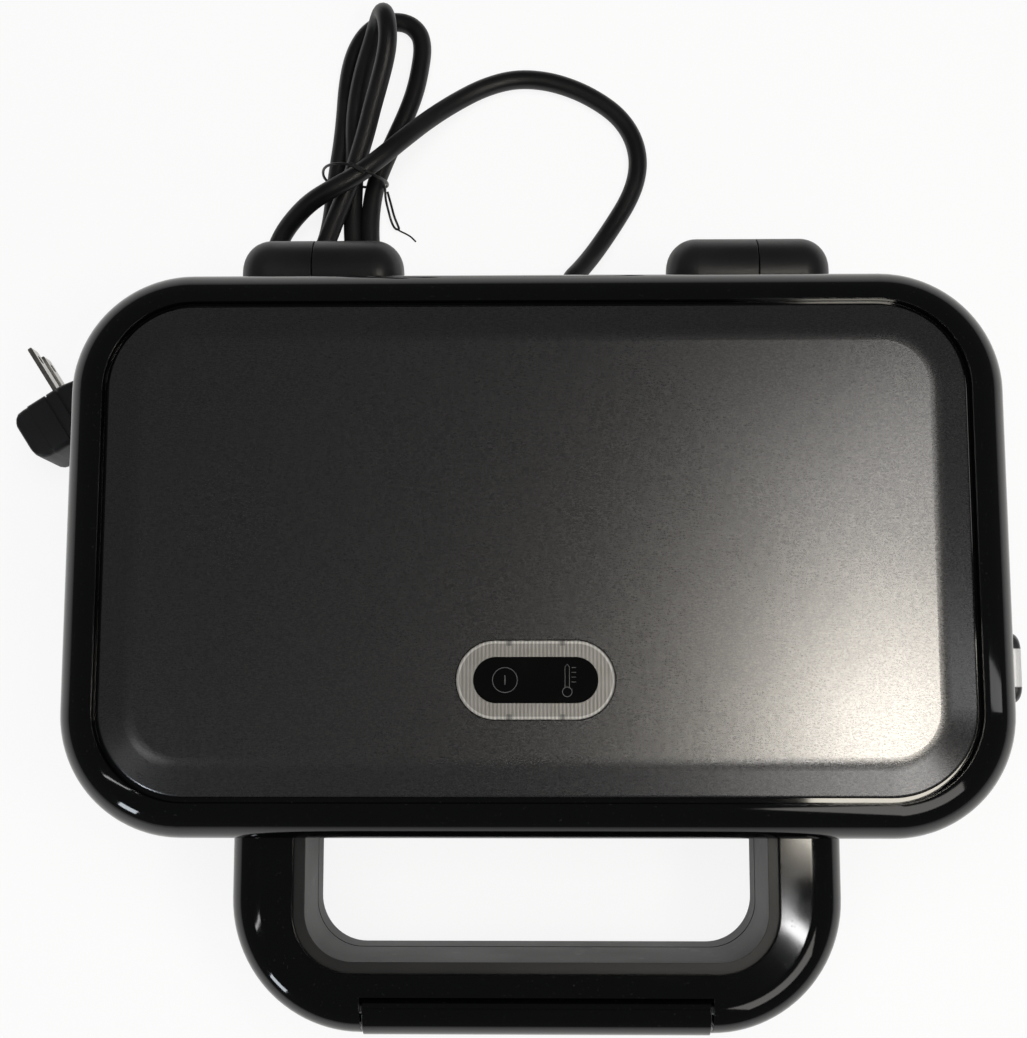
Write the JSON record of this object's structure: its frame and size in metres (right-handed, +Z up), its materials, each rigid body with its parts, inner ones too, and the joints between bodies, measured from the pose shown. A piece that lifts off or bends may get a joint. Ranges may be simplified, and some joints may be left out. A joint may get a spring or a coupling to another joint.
{
  "type": "sandwich maker",
  "caption": "Countertop sandwich maker with a hinged lid, loop handle with latch clip, removable ridged non-stick plates, release buttons and an attached mains cord with plug",
  "frame": {"origin": "centre of the footprint at table height, the cord and plug left out", "axes": "+X to the right of someone facing the handle, +Y to the hinges at the back, +Z up"},
  "size_m": [0.314, 0.3439, 0.0998],
  "materials": {
    "blade_brass": "nickel washed",
    "button_grey": "satin silver paint",
    "ceramic": "unglazed ceramic",
    "cord_black": "satin sheath",
    "dark_steel": "dark tinted, brushed left to right",
    "feet_rubber": "matt",
    "gloss_black": "high gloss",
    "heater_steel": "heat-dulled",
    "heatproof_black": "matt moulded phenolic",
    "lamp_red": "clear tinted",
    "lens_black": "clear gloss over black",
    "matt_black": "fine matt",
    "non_stick": "dark non-stick coating",
    "nylon_natural": "moulded",
    "plug_black": "satin moulded",
    "reflector_sheet": "mill finish",
    "silver_ring": "finely ribbed",
    "spring_steel": "drawn wire",
    "tie_black": "satin",
    "wire_white": "heatproof sleeve",
    "zinc_steel": "zinc plated"
  },
  "bodies": {
    "base": {"lower_housing": "gloss_black", "lower_frame": "heatproof_black", "lower_cook_plate": "non_stick", "lower_heater": "heater_steel", "lower_heater_terminals": "ceramic", "lower_heater_clips": "reflector_sheet", "lower_reflector": "reflector_sheet", "lower_handle_shell": "gloss_black", "lower_handle_liner": "matt_black", "lower_handle_screws": "zinc_steel", "base_screws": "zinc_steel", "feet": "feet_rubber", "thermal_fuse": "ceramic", "fuse_clip": "reflector_sheet", "terminal_block": "nylon_natural", "lower_leads": "wire_white", "inner_cable": "cord_black", "cord_gland": "cord_black", "cord_clamp": "nylon_natural", "cord_clamp_screws": "zinc_steel", "hinge_pin": "zinc_steel", "hinge_tube": "zinc_steel", "cord_lead": "cord_black", "cord_hank": "cord_black", "cord_tail": "cord_black", "cord_tie": "tie_black", "plug_body": "plug_black", "plug_blades": "blade_brass"},
    "lid": {"upper_housing": "gloss_black", "lid_panel": "dark_steel", "indicator_bezel": "silver_ring", "indicator_lens": "lens_black", "lamp_holder": "nylon_natural", "indicator_lamps": "lamp_red", "upper_frame": "heatproof_black", "upper_cook_plate": "non_stick", "upper_heater": "heater_steel", "upper_heater_terminals": "ceramic", "upper_heater_clips": "reflector_sheet", "upper_reflector": "reflector_sheet", "thermostat": "ceramic", "upper_leads": "wire_white", "lamp_leads": "wire_white", "lid_screws": "zinc_steel", "upper_handle_shell": "gloss_black", "upper_handle_liner": "matt_black", "upper_handle_screws": "zinc_steel", "latch_pin": "zinc_steel"},
    "latch": {"latch_clip": "gloss_black"},
    "upper_release": {"upper_release_button": "button_grey", "upper_catch_slider": "zinc_steel", "upper_catch_spring": "spring_steel"},
    "lower_release": {"lower_release_button": "button_grey", "lower_catch_slider": "zinc_steel", "lower_catch_spring": "spring_steel"}
  },
  "joints": [
    {"name": "lid_hinge", "type": "hinge", "parent": "base", "child": "lid", "pos_m": [-0.00352, 0.10949, 0.056], "axis": [-1, 0, 0], "range_deg": [0, 105]},
    {"name": "latch_pivot", "type": "hinge", "parent": "lid", "child": "latch", "pos_m": [-0.00352, -0.10871, 0.0727], "axis": [1, 0, 0], "range_deg": [-30, 5.5]},
    {"name": "upper_release_press", "type": "slide", "parent": "lid", "child": "upper_release", "axis": [-1, 0, 0], "range_m": [0, 0.003], "stiffness_N_per_m": 800, "springref_m": -0.002, "deforming": ["upper_catch_spring"]},
    {"name": "lower_release_press", "type": "slide", "parent": "base", "child": "lower_release", "axis": [-1, 0, 0], "range_m": [0, 0.003], "stiffness_N_per_m": 800, "springref_m": -0.002, "deforming": ["lower_catch_spring"]}
  ]
}
